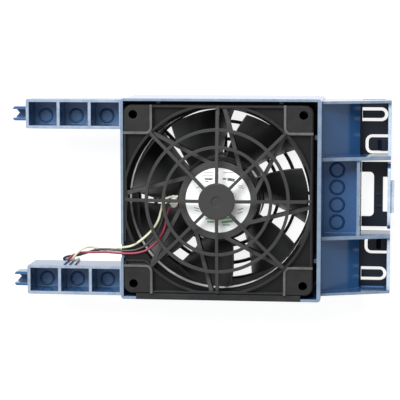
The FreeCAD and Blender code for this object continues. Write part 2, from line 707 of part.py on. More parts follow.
def front_insulator():
    plate = insulator(CORE_FRONT, CORE_FRONT + INSULATOR_T)
    post_xy = (TUBE_R + CORE_HUB_T / 2) * math.sqrt(0.5)
    post = cyl(CORE_HUB_T * 0.4, CORE_FRONT + INSULATOR_T / 2, BOARD_BACK, post_xy, post_xy)
    return fuse([plate] + around(post, POLES))


def rear_insulator():
    return insulator(CORE_BACK - INSULATOR_T, CORE_BACK)


def stator_coils():
    stem = POLE_STEM_W / 2
    outer = stem + COIL_T
    coil = box(COIL_START, COIL_START + COIL_LENGTH, -outer, outer, COIL_BACK, COIL_FRONT)
    long_edges = [e for e in coil.Edges if e.BoundBox.XLength > COIL_LENGTH / 2]
    coil = coil.makeFillet(COIL_T * 0.6, long_edges)
    core = box(0, CORE_R, -stem, stem, CORE_BACK - INSULATOR_T, CORE_FRONT + INSULATOR_T)
    return Part.makeCompound(around(coil.cut(core), POLES))


def circuit_board():
    return tube(BOARD_R, TUBE_R + 0.2, BOARD_BACK, BOARD_FRONT)


def driver_chip():
    length, width, height = CHIP
    return box(CHIP_R - length / 2, CHIP_R + length / 2, -width / 2, width / 2,
               BOARD_FRONT, BOARD_FRONT + height)


def hall_sensor():
    """Position sensor under the board, between two poles."""
    length, width, height = HALL
    middle = CORE_R - SHOE_T
    return turned(box(middle - length / 2, middle + length / 2, -width / 2, width / 2,
                      BOARD_BACK - height, BOARD_BACK), 180.0 / POLES)


def capacitors():
    can = cyl(CAN_R, BOARD_FRONT, BOARD_FRONT + CAN_H, 0, CAN_OUT)
    return Part.makeCompound([turned(can, side * CAN_SPREAD) for side in (-1, 1)])


# ---------------------------------------------------------------- fan bay
def crush_ribs():
    """Low ribs on the bay walls that centre the fan in its gaps."""
    top = BAY_RIM - CRUSH_RIB_DROP
    half_w = CRUSH_RIB_W / 2
    near = HALF + CRUSH_RIB_PLAY
    ribs = []
    for offset in (-CRUSH_RIB_OFFSET, CRUSH_RIB_OFFSET):
        ribs.append(box(offset - half_w, offset + half_w, near, BAY_HALF - BAY_WALL / 2,
                        BAY_FLOOR / 2, top))
        ribs.append(box(near, BAY_X1 - BAY_END_WALL / 2, offset - half_w, offset + half_w,
                        BAY_FLOOR / 2, top))
    return ribs + [mirrored(rib) for rib in ribs[::2]]


def fan_bay():
    outer = rounded(BAY_X0, BAY_X1, -BAY_HALF, BAY_HALF, 0, BAY_RIM, BAY_CORNER_R)
    inside = box(BAY_X0 + BAY_WALL, BAY_X1 - BAY_END_WALL, -BAY_HALF + BAY_WALL,
                 BAY_HALF - BAY_WALL, BAY_FLOOR, FAN_FACE)
    shell = fuse([outer.cut(inside)] + crush_ribs())
    aperture = cyl(GRILLE_R, 0, BAY_FLOOR)
    low_rim = box(-GASKET_HALF, GASKET_HALF, -BAY_HALF, -BAY_HALF + BAY_WALL,
                  BAY_RIM - GASKET_H, BAY_RIM)
    return cut(shell, [aperture, low_rim, wire_channel(BAY_X0, -HALF, NOTCH_W)])


def edge_gasket():
    """Soft strip on the lowered rim, between the wall's outer face and the fan."""
    top = BAY_RIM + GASKET_PROUD
    strip = box(-GASKET_HALF, GASKET_HALF, -BAY_HALF, -HALF, BAY_RIM - GASKET_H, top)
    crown = [e for e in strip.Edges if e.BoundBox.ZMin > top - 1e-6 and e.BoundBox.XLength > 1]
    return strip.makeFillet(GASKET_PROUD, crown)


def rear_grille():
    frame = tube(GRILLE_R, GRILLE_R - GRILLE_BAR_W, 0, GRILLE_T)
    centres = [GRILLE_DISC_R + (i + 1) * GRILLE_RING_PITCH for i in range(GRILLE_RING_COUNT)]
    rings = [tube(r + GRILLE_BAR_W / 2, r - GRILLE_BAR_W / 2, 0, GRILLE_T) for r in centres]
    spoke = box(GRILLE_DISC_R / 2, GRILLE_R - GRILLE_BAR_W / 2,
                -GRILLE_BAR_W / 2, GRILLE_BAR_W / 2, 0, GRILLE_T)
    return fuse([frame, cyl(GRILLE_DISC_R, 0, GRILLE_T)] + rings + around(spoke, GRILLE_SPOKES))


# ------------------------------------------------------------------- arms
def upper_arm():
    y1 = ARM_OUT
    y0 = ARM_OUT - ARM_WIDTH
    shell = rounded(ARM_X0, BAY_X0 + BAY_WALL, y0, y1, ARM_UNDER, ARM_RIM, ARM_WALL * 0.6)
    shell = shell.cut(box(BAY_X0, BAY_X0 + BAY_WALL, y0, y1, ARM_UNDER, ARM_RIM))
    pitch = (ARM_LENGTH - ARM_WALL) / ARM_POCKETS
    pockets = []
    for i in range(ARM_POCKETS):
        start = ARM_X0 + ARM_WALL + i * pitch
        pockets.append(box(start, start + pitch - ARM_WALL, y0 + ARM_WALL, y1 - ARM_WALL,
                           ARM_UNDER + ARM_FLOOR, ARM_RIM))
    return fuse([cut(shell, pockets), peg()])


def peg():
    """Forked locating peg: a channel with tapered cheeks and a notched tip."""
    x0 = ARM_X0 - PEG_LENGTH
    half = PEG_WIDTH / 2
    z1 = ARM_RIM - PEG_DROP
    z0 = z1 - PEG_HEIGHT
    side = [(ARM_X0 + ARM_WALL / 2, half), (x0 + PEG_TAPER, half), (x0, half - PEG_TAPER),
            (x0, PEG_NOTCH_HALF)]
    plan = [(x, ARM_MID - y) for x, y in side] + [(x0 + PEG_NOTCH, ARM_MID)]
    plan += [(x, ARM_MID + y) for x, y in reversed(side)]
    groove = box(x0, ARM_X0, ARM_MID - half + PEG_WALL, ARM_MID + half - PEG_WALL,
                 z0 + PEG_WALL, z1)
    return prism_xy(plan, z0, z1).cut(groove)


# -------------------------------------------------------------- latch tray
def tray_wall(y0, y1, z0):
    points = [(BAY_X1, z0), (TRAY_X1, z0), (TRAY_X1, TRAY_RIM_FAR), (BAY_X1, TRAY_RIM_NEAR)]
    return prism_xz(points, y0, y1)


def tray_half():
    """Outer wall, rib, ramp and riser of the +Y side."""
    wall = tray_wall(TRAY_IN, TRAY_OUT, 0)
    slot_x0 = END_X0 - SIDE_SLOT_LENGTH - END_WALL_T
    wall = wall.cut(box(slot_x0, slot_x0 + SIDE_SLOT_LENGTH, TRAY_IN, TRAY_OUT,
                        SIDE_SLOT_Z, SIDE_SLOT_Z + SIDE_SLOT_H))
    rib = tray_wall(RIB_IN, RIB_OUT, PLATE_TOP)
    ramp = prism_xz([(BAY_X1, RAMP_TOP), (RAMP_X1, RAMP_FOOT), (RAMP_X1, PLATE_TOP),
                     (RAMP_X1 - RAMP_T, PLATE_TOP), (RAMP_X1 - RAMP_T, RAMP_FOOT - RAMP_T / 2),
                     (BAY_X1, RAMP_TOP - 1.5 * RAMP_T)], RIB_OUT - RIB_T / 2, TRAY_IN + TRAY_WALL / 2)
    return [wall, rib, ramp]


def latch_tray():
    half = tray_half()
    cross = box(CROSS_X0, CROSS_X1, -RIB_OUT + RIB_T / 2, RIB_OUT - RIB_T / 2,
                PLATE_TOP, CROSS_WALL_TOP)
    floor = box(BAY_X1, CROSS_X1 - CROSS_WALL_T / 2, -RIB_OUT + RIB_T / 2, RIB_OUT - RIB_T / 2,
                MID_POCKET_FLOOR - MID_POCKET_SKIN, MID_POCKET_FLOOR)
    return fuse(half + [mirrored(piece) for piece in half] + [cross, floor])


# ----------------------------------------------------- end plate and latch
def snap_slot():
    half = SNAP_W / 2 + SNAP_SLOT
    return stadium(SNAP_X0, SNAP_X1, SNAP_Y, half, PLATE_LIFT, PLATE_TOP)


def snap_finger():
    """Springy tongue of the end plate, rolling on a full-round root."""
    tongue = stadium(SNAP_PIVOT_X, SNAP_X1 - SNAP_SLOT, SNAP_Y, SNAP_W / 2, PLATE_LIFT, PLATE_TOP)
    root = Part.makeCylinder(PLATE_T / 2, SNAP_W, Vector(SNAP_PIVOT_X, SNAP_Y - SNAP_W / 2, PLATE_MID),
                             Vector(0, 1, 0))
    return tongue.fuse(root).removeSplitter()


def wall_slot():
    """U-shaped slot in the upturned wall, in line with the finger below it."""
    outer = SNAP_W / 2 + SNAP_SLOT
    top = END_WALL_TOP - WALL_SLOT_LAND
    height = top - WALL_SLOT_Z
    slot = stadium(0, height, 0, outer, 0, END_WALL_T)
    slot = slot.cut(stadium(0, height - SNAP_SLOT, 0, SNAP_W / 2, 0, END_WALL_T))
    slot.rotate(Vector(0, 0, 0), Vector(0, 1, 0), 90)
    slot.translate(Vector(END_X0, SNAP_Y, top))
    return slot


def hook_slot():
    """U-shaped slot round the hook tab, open to the end wall at both ends."""
    cross = END_X0 - HOOK_REACH + HOOK_SLOT / 2
    outer = HOOK_Y + HOOK_HALF_W
    inner = RIB_OUT + HOOK_SLOT / 2 + HOOK_RIB_LAND
    points = [(TRAY_X1, outer)]
    for start, y in ((90, outer - HOOK_CORNER), (180, inner + HOOK_CORNER)):
        for i in range(HOOK_CORNER_STEPS + 1):
            turn = math.radians(start + 90 * i / HOOK_CORNER_STEPS)
            points.append((cross + HOOK_CORNER + HOOK_CORNER * math.cos(turn),
                           y + HOOK_CORNER * math.sin(turn)))
    points.append((END_X0, inner))
    floor_slot = slot_path(points, HOOK_SLOT, PLATE_LIFT, PLATE_TOP)
    up = box(END_X0, TRAY_X1, outer - HOOK_SLOT / 2, outer + HOOK_SLOT / 2,
             PLATE_LIFT, END_WALL_TOP - WALL_SLOT_LAND)
    return floor_slot.fuse(up)


def hook_block():
    length, width, height = HOOK_BLOCK
    x1 = END_X0 - HOOK_BLOCK_SINK
    foot = PLATE_TOP - HOOK_BLOCK_SINK
    points = [(x1 - length, foot), (x1, foot), (x1, PLATE_TOP + height),
              (x1 - length / 2, PLATE_TOP + height)]
    return prism_xz(points, HOOK_Y - width / 2, HOOK_Y + width / 2)


def end_plate():
    """Dark floor of the tray with its upturned end wall, in one bent piece."""
    tongue_x = RAMP_X1 - RAMP_T - PLATE_TONGUE
    strip = box(tongue_x, STRIP_X1, -TRAY_IN, TRAY_IN, PLATE_LIFT, PLATE_TOP)
    side = box(STRIP_X1 - 0.1, TRAY_X1, RIB_IN, TRAY_IN, PLATE_LIFT, PLATE_TOP)
    wall = box(END_X0, TRAY_X1, RIB_OUT, TRAY_IN, PLATE_LIFT, END_WALL_TOP)
    half = cut(fuse([side, wall, hook_block()]), [snap_slot(), hook_slot(), wall_slot()])
    return fuse([strip, half, mirrored(half)])


def end_latch():
    """Sprung release latch: two legs, a grip bar and an upturned end with a thumb lip."""
    plate = box(LATCH_PIVOT_X, TRAY_X1, -LATCH_HALF, LATCH_HALF, PLATE_LIFT, PLATE_TOP)
    root = Part.makeCylinder(PLATE_T / 2, 2 * LATCH_HALF, Vector(LATCH_PIVOT_X, -LATCH_HALF, PLATE_MID),
                             Vector(0, 1, 0))
    window = rounded(LATCH_PIVOT_X - 3 * PLATE_T, WINDOW_X1, -WINDOW_HALF, WINDOW_HALF,
                     PLATE_LIFT - 1, PLATE_TOP + 1, WINDOW_R)
    wall = rounded(PLATE_LIFT - LATCH_CORNER_R, END_WALL_TOP, -LATCH_HALF, LATCH_HALF,
                   0, END_WALL_T, LATCH_CORNER_R)
    wall.rotate(Vector(0, 0, 0), Vector(0, 1, 0), -90)
    wall.translate(Vector(TRAY_X1, 0, 0))
    wall = wall.common(box(END_X0, TRAY_X1, -LATCH_HALF, LATCH_HALF, PLATE_LIFT, END_WALL_TOP))
    slit = box(SLIT_X0, TRAY_X1, -SLIT_HALF, SLIT_HALF, PLATE_LIFT, SLIT_TOP)
    thumb_z = END_WALL_TOP - THUMB_DROP
    thumb = rounded(TRAY_X1 - END_WALL_T / 2, TRAY_X1 + THUMB_REACH, -THUMB_HALF, THUMB_HALF,
                    thumb_z - THUMB_H, thumb_z, THUMB_REACH / 3)
    length, width, height = GRIP
    middle = (WINDOW_X1 + SLIT_X0) / 2
    grips = []
    for i in range(GRIP_COUNT):
        y = (i - (GRIP_COUNT - 1) / 2) * GRIP_PITCH
        grips.append(box(middle - length / 2, middle + length / 2, y - width / 2, y + width / 2,
                         PLATE_TOP - height, PLATE_TOP + height))
    body = cut(fuse([plate, root, wall]), [window, slit])
    return fuse([body, thumb] + grips)


# ---------------------------------------------------- wires and connector
def plug_lane(index):
    return -ARM_MID + (index - 1) * PLUG_PITCH


def connector_housing():
    body = box(PLUG_X1 - PLUG_LENGTH, PLUG_X1, -ARM_MID - PLUG_WIDTH / 2,
               -ARM_MID + PLUG_WIDTH / 2, PLUG_TOP - PLUG_H, PLUG_TOP)
    bore = PLUG_BORE / 2
    lanes = [box(PLUG_X1 - PLUG_LENGTH, PLUG_X1 - CONTACT_TAIL, plug_lane(i) - bore,
                 plug_lane(i) + bore, PLUG_MID - bore, PLUG_MID + bore)
             for i in range(len(PLUG_ORDER))]
    return cut(body, lanes)


def connector_contacts():
    half = PLUG_BORE / 2
    inner = half - CONTACT_WALL
    x0 = PLUG_X1 - PLUG_LENGTH + CONTACT_INSET
    x1 = PLUG_X1 - CONTACT_TAIL
    contacts = []
    for i in range(len(PLUG_ORDER)):
        y = plug_lane(i)
        shell = box(x0, x1, y - half, y + half, PLUG_MID - half, PLUG_MID + half)
        contacts.append(shell.cut(box(x0, x1 - CONTACT_INSET, y - inner, y + inner,
                                      PLUG_MID - inner, PLUG_MID + inner)))
    return Part.makeCompound(contacts)


def connector_cradle():
    """Channel under the lower arm that holds the plug."""
    x0 = PLUG_X1 - PLUG_LENGTH / 2 - CRADLE_LENGTH / 2
    half = PLUG_WIDTH / 2
    outer = box(x0, x0 + CRADLE_LENGTH, -ARM_MID - half - CRADLE_WALL, -ARM_MID + half + CRADLE_WALL,
                PLUG_TOP - PLUG_H - CRADLE_WALL, ARM_UNDER)
    return outer.cut(box(x0, x0 + CRADLE_LENGTH, -ARM_MID - half, -ARM_MID + half,
                         PLUG_TOP - PLUG_H, PLUG_TOP))


def wires():
    made = {}
    for index, name in enumerate(GROMMET_ORDER):
        exit_y = GROMMET_Y + (index - 1) * (GROMMET_W - 3.4) / 2
        start = (GROMMET_X, exit_y, WIRE_Z)
        end = (PLUG_X1, plug_lane(PLUG_ORDER.index(name)), PLUG_MID)
        made[name] = cord(name, [start] + WIRE_POINTS[name] + [end], WIRE_R)
    return made


# ------------------------------------------------------------------ output
def nodes():
    arm = upper_arm()
    snap = snap_finger()
    parts = {
        "fan_bay": fan_bay(),
        "upper_arm": arm,
        "lower_arm": mirrored(arm),
        "latch_tray": latch_tray(),
        "end_plate": end_plate(),
        "end_latch": end_latch(),
        "upper_snap_finger": snap,
        "lower_snap_finger": mirrored(snap),
        "rear_grille": rear_grille(),
        "edge_gasket": edge_gasket(),
        "fan_housing": fan_housing(),
        "strut_spider": strut_spider(),
        "hub_label": hub_label(),
        "finger_guard": finger_guard(),
        "impeller": impeller(),
        "rotor_yoke": rotor_yoke(),
        "ring_magnet": ring_magnet(),
        "shaft_bush": shaft_bush(),
        "rotor_shaft": rotor_shaft(),
        "preload_spring": preload_spring(),
        "retaining_clip": retaining_clip(),
        "bearing_inner_rings": bearing_rings(SHAFT_R + RACE_T, SHAFT_R),
        "bearing_outer_rings": bearing_rings(BEARING_R, BEARING_R - RACE_T),
        "ball_cages": ball_cages(),
        "bearing_tube": bearing_tube(),
        "stator_core": stator_core(),
        "front_insulator": front_insulator(),
        "rear_insulator": rear_insulator(),
        "stator_coils": stator_coils(),
        "circuit_board": circuit_board(),
        "driver_chip": driver_chip(),
        "hall_sensor": hall_sensor(),
        "capacitors": capacitors(),
        "wire_grommet": grommet(),
        "connector_housing": connector_housing(),
        "connector_contacts": connector_contacts(),
        "connector_cradle": connector_cradle(),
    }
    parts.update(wires())
    return parts


os.makedirs("parts", exist_ok=True)
for node, solid in nodes().items():
    solid.exportStep("parts/%s.step" % node)
    bounds = solid.BoundBox
    print("%-20s solids %d valid %s  X %.2f..%.2f  Y %.2f..%.2f  Z %.2f..%.2f"
          % (node, len(solid.Solids), solid.isValid(), bounds.XMin, bounds.XMax,
             bounds.YMin, bounds.YMax, bounds.ZMin, bounds.ZMax))
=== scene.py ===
import json
import math

import bmesh
import bpy
from mathutils import Matrix, Vector


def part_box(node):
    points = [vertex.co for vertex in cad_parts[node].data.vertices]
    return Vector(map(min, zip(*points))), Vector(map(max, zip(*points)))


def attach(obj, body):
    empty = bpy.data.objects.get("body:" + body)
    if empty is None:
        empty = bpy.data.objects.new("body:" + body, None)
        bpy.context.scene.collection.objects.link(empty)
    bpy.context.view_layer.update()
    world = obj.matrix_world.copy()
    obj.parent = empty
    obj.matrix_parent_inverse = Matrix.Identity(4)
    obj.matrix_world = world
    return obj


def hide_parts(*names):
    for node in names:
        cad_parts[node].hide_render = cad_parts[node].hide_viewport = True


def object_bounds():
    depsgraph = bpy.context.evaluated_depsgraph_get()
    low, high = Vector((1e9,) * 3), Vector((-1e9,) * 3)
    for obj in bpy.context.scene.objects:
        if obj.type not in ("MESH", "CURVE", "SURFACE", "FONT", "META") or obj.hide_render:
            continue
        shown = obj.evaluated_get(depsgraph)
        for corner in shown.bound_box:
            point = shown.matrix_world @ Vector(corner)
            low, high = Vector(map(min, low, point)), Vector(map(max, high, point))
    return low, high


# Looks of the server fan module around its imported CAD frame. Metres, +Z up:
# the module lies on its back and the camera looks down on the finger guard.

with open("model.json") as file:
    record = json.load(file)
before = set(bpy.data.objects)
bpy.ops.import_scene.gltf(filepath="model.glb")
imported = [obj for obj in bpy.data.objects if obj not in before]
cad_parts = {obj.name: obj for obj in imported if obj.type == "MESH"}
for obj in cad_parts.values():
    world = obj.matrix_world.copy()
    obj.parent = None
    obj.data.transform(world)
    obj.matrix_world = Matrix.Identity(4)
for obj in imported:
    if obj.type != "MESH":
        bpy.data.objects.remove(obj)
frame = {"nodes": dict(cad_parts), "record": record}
CAD_LOW, CAD_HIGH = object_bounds()
NODES = frame["nodes"]
MM = 0.001


# ---------------------------------------------------------------- places
def high(node):
    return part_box(node)[1]


TRAY_LOW, TRAY_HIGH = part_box("latch_tray")
TRAY_RIM_FAR = 18.2 * MM  # the tray's rims slope down to this at the end wall
TRAY_SLOPE = (TRAY_HIGH.z - TRAY_RIM_FAR) / (TRAY_HIGH.x - TRAY_LOW.x)
TRAY_RIM_AT_AXIS = TRAY_HIGH.z + TRAY_SLOPE * TRAY_LOW.x
END_WALL_X = TRAY_HIGH.x - 1.6 * MM       # inside face of the tray's end wall
ARM_LOW, ARM_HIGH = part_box("upper_arm")
ARM_FLOOR = ARM_LOW.z + 1.8 * MM
LABEL_TOP = high("hub_label").z
BASE_FACE = high("strut_spider").z
FAN_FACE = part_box("finger_guard")[0].z
BORE_R = 44.0 * MM
HUB_R = 20.6 * MM
HUB_FRONT = high("impeller").z


# ---------------------------------------------------------------- camera
CAMERA_AT = Vector((0.0826, 0.0870, 0.8500))
CAMERA_TO = Vector((-0.0087, 0.0, 0.0400))
VIEW_WIDTH = 0.1935       # width seen at the aimed point
SENSOR = 0.036            # width of the camera's sensor

camera_data = bpy.data.cameras.new("camera")
camera_data.sensor_width = SENSOR / MM
camera_data.lens = SENSOR / MM * (CAMERA_AT - CAMERA_TO).length / VIEW_WIDTH
camera_data.clip_start = 0.01
camera_data.clip_end = 20
camera = bpy.data.objects.new("camera", camera_data)
bpy.context.scene.collection.objects.link(camera)
camera.location = CAMERA_AT
forward = (CAMERA_TO - CAMERA_AT).normalized()
right = forward.cross(Vector((0, 1, 0))).normalized()
up = right.cross(forward)
camera.rotation_mode = "QUATERNION"
camera.rotation_quaternion = Matrix((right, up, -forward)).transposed().to_quaternion()
bpy.context.scene.camera = camera


# ---------------------------------------------------------------- materials
UP = (0.0, 0.0, 1.0)
DOWN = (0.0, 0.0, -1.0)
TO_TRAY = (1.0, 0.0, 0.0)
SOCKETS = {"colour": "Base Color", "roughness": "Roughness", "normal": "Normal",
           "metallic": "Metallic", "specular": "Specular IOR Level"}


class Surface:
    """A node material being built, with the object's own coordinates at hand."""

    def __init__(self, name):
        self.material = bpy.data.materials.new(name)
        self.material.use_nodes = True
        self.tree = self.material.node_tree
        self.shader = self.tree.nodes["Principled BSDF"]
        self.place = self.add("ShaderNodeTexCoord").outputs["Object"]

    def add(self, kind, **settings):
        node = self.tree.nodes.new(kind)
        for key, value in settings.items():
            setattr(node, key, value)
        return node

    def link(self, output, target):
        self.tree.links.new(output, target)

    def noise(self, scale, detail=3.0):
        """Cloudy values between 0 and 1, with scale clouds to the metre."""
        node = self.add("ShaderNodeTexNoise")
        node.inputs["Scale"].default_value = scale
        node.inputs["Detail"].default_value = detail
        node.inputs["Roughness"].default_value = 0.55
        self.link(self.place, node.inputs["Vector"])
        return node.outputs["Fac"]

    def math(self, operation, a, b=0.0):
        node = self.add("ShaderNodeMath", operation=operation)
        for index, value in enumerate((a, b)):
            if isinstance(value, (int, float)):
                node.inputs[index].default_value = value
            else:
                self.link(value, node.inputs[index])
        return node.outputs[0]

    def remap(self, value, low_in, high_in, low_out, high_out):
        """A linear change of range, held within the new one."""
        node = self.add("ShaderNodeMapRange", clamp=True)
        for name, number in (("From Min", low_in), ("From Max", high_in),
                             ("To Min", low_out), ("To Max", high_out)):
            node.inputs[name].default_value = number
        self.link(value, node.inputs["Value"])
        return node.outputs["Result"]

    def mix(self, share, a, b):
        """Colour a where the share is 0 and b where it is 1. Each is a tuple or an output."""
        node = self.add("ShaderNodeMix", data_type="RGBA")
        self.link(share, node.inputs["Factor"])
        for slot_index, value in ((6, a), (7, b)):
            if isinstance(value, tuple):
                node.inputs[slot_index].default_value = (*value, 1.0)
            else:
                self.link(value, node.inputs[slot_index])
        return node.outputs[2]

    def edge_normal(self, radius):
        """The normal, rounded off near sharp edges."""
        node = self.add("ShaderNodeBevel", samples=6)
        node.inputs["Radius"].default_value = radius
        return node.outputs["Normal"]

    def edge_share(self, normal, start, end):
        """0 on flat ground and 1 on the rounded-off edges."""
        straight = self.add("ShaderNodeNewGeometry").outputs["Normal"]
        dot = self.add("ShaderNodeVectorMath", operation="DOT_PRODUCT")
        self.link(normal, dot.inputs[0])
        self.link(straight, dot.inputs[1])
        return self.remap(self.math("SUBTRACT", 1.0, dot.outputs["Value"]), start, end, 0.0, 1.0)

    def facing_up(self):
        """1 on level ground that faces up, 0 on walls and undersides."""
        split = self.add("ShaderNodeSeparateXYZ")
        self.link(self.add("ShaderNodeNewGeometry").outputs["Normal"], split.inputs[0])
        return self.remap(split.outputs["Z"], 0.80, 0.92, 0.0, 1.0)

    def rising(self, start, end, along=UP):
        """0 before start and 1 after end, along a direction."""
        dot = self.add("ShaderNodeVectorMath", operation="DOT_PRODUCT")
        self.link(self.place, dot.inputs[0])
        dot.inputs[1].default_value = along
        return self.remap(dot.outputs["Value"], start, end, 0.0, 1.0)

    def blend(self, share, a, b):
        """Value a where the share is 0 and b where it is 1."""
        rest = self.math("MULTIPLY", self.math("SUBTRACT", 1.0, share), a)
        return self.math("ADD", rest, self.math("MULTIPLY", share, b))

    def bump(self, height, strength, distance, normal=None):
        node = self.add("ShaderNodeBump")
        node.inputs["Strength"].default_value = strength
        node.inputs["Distance"].default_value = distance
        self.link(height, node.inputs["Height"])
        if normal is not None:
            self.link(normal, node.inputs["Normal"])
        return node.outputs["Normal"]

    def finish(self, **values):
        """Sets or links the shader's sockets and returns the material."""
        for name, value in values.items():
            target = self.shader.inputs[SOCKETS[name]]
            if isinstance(value, (int, float)):
                target.default_value = value
            else:
                self.link(value, target)
        return self.material


def shade(colour, factor):
    """The colour made darker or lighter."""
    return tuple(min(1.0, c * factor) for c in colour)


def moulded(name, colour, roughness, mottle=0.12, grain=900.0, relief=0.35,
            edge_highlight=None, edge_radius=0.35 * MM, specular=0.5, painted_light=(), pale_end=None,
            band=None, sides=None):
    """Injection-moulded plastic: cloudy colour, spark-eroded grain, and a painted highlight on the
    edges.

    The tiers of painted light are a row of (colour, start, end, direction): ground facing up
    is painted to that colour from start on along the direction, a painted highlight where the
    colour is paler and painted shade where it is darker. pale_end is (colour, start, end)
    towards the tray: blue from there on, and painted to that colour where it faces up, a
    painted highlight.
    band is (radius, low, high, roughness, colour): a polished ring within that radius
    of the fan's axis, painted with that colour as a painted glint, and dull walls above and
    below it. sides is the roughness of the upright faces.
    """
    s = Surface(name)
    clouds = s.remap(s.noise(38.0, 4.0), 0.3, 0.7, 0.0, 1.0)
    tint = s.mix(clouds, shade(colour, 1 - mottle), shade(colour, 1 + mottle))
    speckle = s.remap(s.noise(grain * 4, 2.0), 0.35, 0.65, 0.0, 0.22)
    tint = s.mix(speckle, tint, shade(colour, 1.5))
    # patchy noise that breaks up the painted highlights, painted shade and painted glints below
    painted_light_patchiness = s.remap(s.noise(260.0, 3.0), 0.25, 0.6, 0.6, 1.0)
    level = s.facing_up()
    # upward ground painted in tiers: painted highlight where a tier is paler, painted shade where
    # it is darker
    for painted_tone, start, end, direction in painted_light:
        share = s.math("MULTIPLY", level, s.rising(start, end, direction))
        tint = s.mix(s.math("MULTIPLY", share, painted_light_patchiness), tint, painted_tone)
    if pale_end is not None:
        painted_tone, start, end = pale_end
        beyond = s.rising(start, end, TO_TRAY)
        tint = s.mix(beyond, tint, BLUE)
        share = s.math("MULTIPLY", s.math("MULTIPLY", beyond, painted_light_patchiness), level)
        tint = s.mix(share, tint, painted_tone)
    normal = s.edge_normal(edge_radius)
    # painted highlight: the edges are mixed towards a paler colour
    if edge_highlight is not None:
        share = s.math("MULTIPLY", s.edge_share(normal, 0.02, 0.20), painted_light_patchiness)
        tint = s.mix(share, tint, edge_highlight)
    rough = s.remap(s.noise(60.0, 3.0), 0.3, 0.7, roughness - 0.06, roughness + 0.06)
    if sides is not None:
        rough = s.blend(level, sides, rough)
    if band is not None:
        radius, bottom, top, smooth, painted_glint = band
        flat = s.add("ShaderNodeVectorMath", operation="MULTIPLY")
        s.link(s.place, flat.inputs[0])
        flat.inputs[1].default_value = (1.0, 1.0, 0.0)
        reach = s.add("ShaderNodeVectorMath", operation="LENGTH")
        s.link(flat.outputs[0], reach.inputs[0])
        inside = s.remap(reach.outputs["Value"], radius, radius + 0.2 * MM, 1.0, 0.0)
        rough = s.blend(inside, rough, 0.8)
        inside = s.math("MULTIPLY", inside, s.rising(bottom, bottom + 0.6 * MM))
        inside = s.math("MULTIPLY", inside, s.rising(-top, 0.6 * MM - top, DOWN))
        rough = s.blend(inside, rough, smooth)
        # painted glint: the band's colour is mixed in
        tint = s.mix(s.math("MULTIPLY", inside, painted_light_patchiness), tint, painted_glint)
    relief_normal = s.bump(s.noise(grain * 6, 3.0), relief, 0.02 * MM, normal)
    return s.finish(colour=tint, roughness=rough, normal=relief_normal, specular=specular)


def rubber(name, colour):
    """Dusty foam or rubber."""
    s = Surface(name)
    dust = s.remap(s.noise(120.0, 5.0), 0.45, 0.75, 0.0, 0.5)
    tint = s.mix(dust, colour, shade(colour, 2.4))
    return s.finish(colour=tint, roughness=s.remap(s.noise(300.0), 0.3, 0.7, 0.6, 0.85),
                    normal=s.bump(s.noise(2600.0), 0.5, 0.03 * MM), specular=0.15)


def metal(name, colour, roughness):
    """Machined metal with fine tool marks round the vertical axis."""
    s = Surface(name)
    mapping = s.add("ShaderNodeMapping")
    mapping.inputs["Scale"].default_value = (1.0, 1.0, 14.0)
    s.link(s.place, mapping.inputs["Vector"])
    s.place = mapping.outputs["Vector"]
    marks = s.noise(1800.0)
    tint = s.mix(s.remap(marks, 0.3, 0.7, 0.0, 1.0), shade(colour, 0.82), shade(colour, 1.1))
    return s.finish(colour=tint, metallic=1.0,
                    roughness=s.remap(marks, 0.3, 0.7, roughness * 0.75, roughness * 1.3),
                    normal=s.bump(marks, 0.25, 0.01 * MM))


def layered(name, colour, gap_colour, pitch, metallic, roughness):
    """Fine even layers one above the other: stacked sheets or wound wire."""
    s = Surface(name)
    split = s.add("ShaderNodeSeparateXYZ")
    s.link(s.place, split.inputs[0])
    ramp = s.math("FRACT", s.math("DIVIDE", split.outputs["Z"], pitch))
    crest = s.math("SINE", s.math("MULTIPLY", ramp, math.pi))
    share = s.remap(crest, 0.15, 0.6, 0.0, 1.0)
    cloudy = s.mix(s.noise(200.0, 3.0), shade(colour, 0.85), shade(colour, 1.15))
    return s.finish(colour=s.mix(share, gap_colour, cloudy), metallic=metallic,
                    roughness=s.remap(s.noise(500.0), 0.3, 0.7, roughness - 0.05, roughness + 0.05),
                    normal=s.bump(crest, 0.6, 0.04 * MM))


def insulation(name, colour, gloss):
    """Extruded wire insulation with faint dirt."""
    s = Surface(name)
    dirt = s.remap(s.noise(420.0, 4.0), 0.4, 0.75, 0.0, 0.35)
    tint = s.mix(dirt, colour, shade(colour, 0.72))
    return s.finish(colour=tint, roughness=s.remap(s.noise(700.0), 0.3, 0.7, gloss, gloss + 0.12),
                    normal=s.bump(s.noise(1600.0), 0.2, 0.02 * MM), specular=0.5)


BLUE = (0.021, 0.076, 0.190)
# painted sheen on the tops of the blue rims
BLUE_RIM_PAINTED_SHEEN = (0.165, 0.215, 0.285)
# painted highlight on the blue plastic's edges
BLUE_EDGE_HIGHLIGHT = (0.13, 0.19, 0.28)
# painted light on the arm pockets' floors, much paler than the plastic
ARM_FLOOR_PAINTED_LIGHT = (0.085, 0.190, 0.370)
# painted highlight on the upward faces of the tray's end wall
END_RIM_PAINTED_HIGHLIGHT = (0.42, 0.50, 0.60)
NAVY = (0.0050, 0.0085, 0.0170)
BLACK = (0.0052, 0.0055, 0.0058)
# painted shade for the sunk panels, painted light for the frame's face, a painted highlight for the
# pads' rims
PANEL_PAINTED_SHADE = (0.0030, 0.0030, 0.0031)
FACE_PAINTED_LIGHT = (0.015, 0.015, 0.0148)
PAD_RIM_PAINTED_HIGHLIGHT = (0.095, 0.096, 0.096)
# painted glint: a near-white ring on the duct's wall
BORE_GLINT = (0.85, 0.86, 0.87)
# painted light on the motor base's front face
BASE_FACE_PAINTED_LIGHT = (0.048, 0.048, 0.047)
BLADE_BLACK = (0.016, 0.0165, 0.017)
